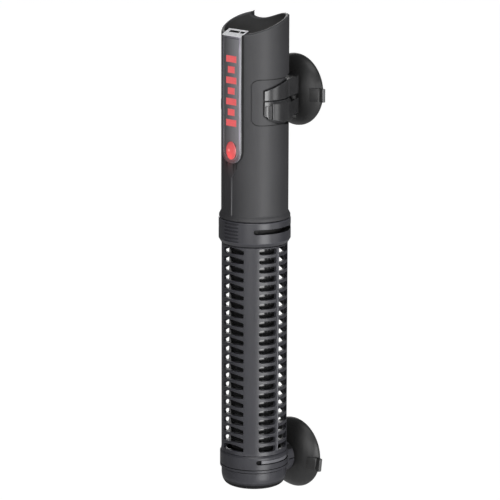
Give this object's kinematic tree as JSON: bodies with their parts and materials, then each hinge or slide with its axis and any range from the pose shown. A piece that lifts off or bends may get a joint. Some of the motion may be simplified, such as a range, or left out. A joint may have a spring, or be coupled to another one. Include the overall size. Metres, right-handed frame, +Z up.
{
  "type": "submersible aquarium heater",
  "caption": "Upright submersible aquarium heater: slotted guard round a glass tube, plastic head with a lit indicator bar, and suction cups that hold it to the pane.",
  "frame": {"origin": "middle of the upper suction cup's sealing face, on the pane", "axes": "+Y into the pane, +Z up along the heater, the indicator bar faces -Y"},
  "size_m": [0.043, 0.0533, 0.2732],
  "materials": {
    "head_plastic": "moulded black plastic with a fine grain",
    "clear_plastic": "clear polished plastic",
    "inlay_plastic": "dark grey under gloss",
    "mark_red": "printed red",
    "lens_red": "red translucent lens, lit",
    "lamp_red": "red lamp body",
    "rubber": "black rubber with a soft sheen",
    "nut_plastic": "grey moulded plastic",
    "board_green": "green glass-fibre board",
    "component_plastic": "yellow component cases",
    "terminal_plastic": "green terminal block",
    "sensor_resin": "black epoxy bead",
    "dark_glass": "smoked glass, polished",
    "ceramic": "unglazed cream ceramic",
    "resistance_wire": "drawn resistance wire",
    "wire_jacket": "red silicone jacket",
    "fuse_metal": "plain metal can",
    "holder_plastic": "moulded black plastic with a fine grain",
    "guard_plastic": "moulded charcoal plastic with a fine grain",
    "cushion_rubber": "soft black silicone"
  },
  "bodies": {
    "heater": {"head_housing": "head_plastic", "light_bar": "clear_plastic", "bar_inlay": "inlay_plastic", "scale_marks": "mark_red", "lamp_lens": "lens_red", "lamp": "lamp_red", "cable_gland": "rubber", "gland_nut": "nut_plastic", "control_board": "board_green", "board_components": "component_plastic", "terminal_block": "terminal_plastic", "temperature_sensor": "sensor_resin", "tube_seal": "rubber", "seal_clamp_ring": "nut_plastic", "o_ring": "rubber", "glass_tube": "dark_glass", "element_core": "ceramic", "heating_coil": "resistance_wire", "lead_wires": "wire_jacket", "thermal_fuse": "fuse_metal", "upper_bracket": "holder_plastic"},
    "left_arm": {"left_release_arm": "holder_plastic"},
    "right_arm": {"right_release_arm": "holder_plastic"},
    "upper_cup": {"upper_cup": "rubber"},
    "guard": {"guard_collar": "guard_plastic", "guard_cage": "guard_plastic", "end_cap": "guard_plastic", "end_cushion": "cushion_rubber"},
    "foot": {"foot_ring": "guard_plastic"},
    "lower_cup": {"lower_cup": "rubber"}
  },
  "joints": [
    {"name": "guard_slide", "type": "slide", "parent": "heater", "child": "guard", "axis": [0, 0, -1], "range_m": [0, 0.14]},
    {"name": "foot_turn", "type": "hinge", "parent": "guard", "child": "foot", "pos_m": [0, -0.0332, -0.2035], "axis": [0, 0, 1], "range_deg": [-7.5, 7.5]},
    {"name": "lower_cup_spin", "type": "hinge", "parent": "foot", "child": "lower_cup", "pos_m": [0, -0.0112, -0.208], "axis": [0, 1, 0], "continuous": true},
    {"name": "upper_cup_spin", "type": "hinge", "parent": "heater", "child": "upper_cup", "pos_m": [0, -0.0112, 0], "axis": [0, 1, 0], "continuous": true},
    {"name": "left_arm_swing", "type": "hinge", "parent": "heater", "child": "left_arm", "pos_m": [-0.0102, -0.0143, -0.0055], "axis": [0, 0, -1], "range_deg": [0, 25]},
    {"name": "right_arm_swing", "type": "hinge", "parent": "heater", "child": "right_arm", "pos_m": [0.0102, -0.0143, -0.0055], "axis": [0, 0, 1], "range_deg": [0, 25]}
  ]
}
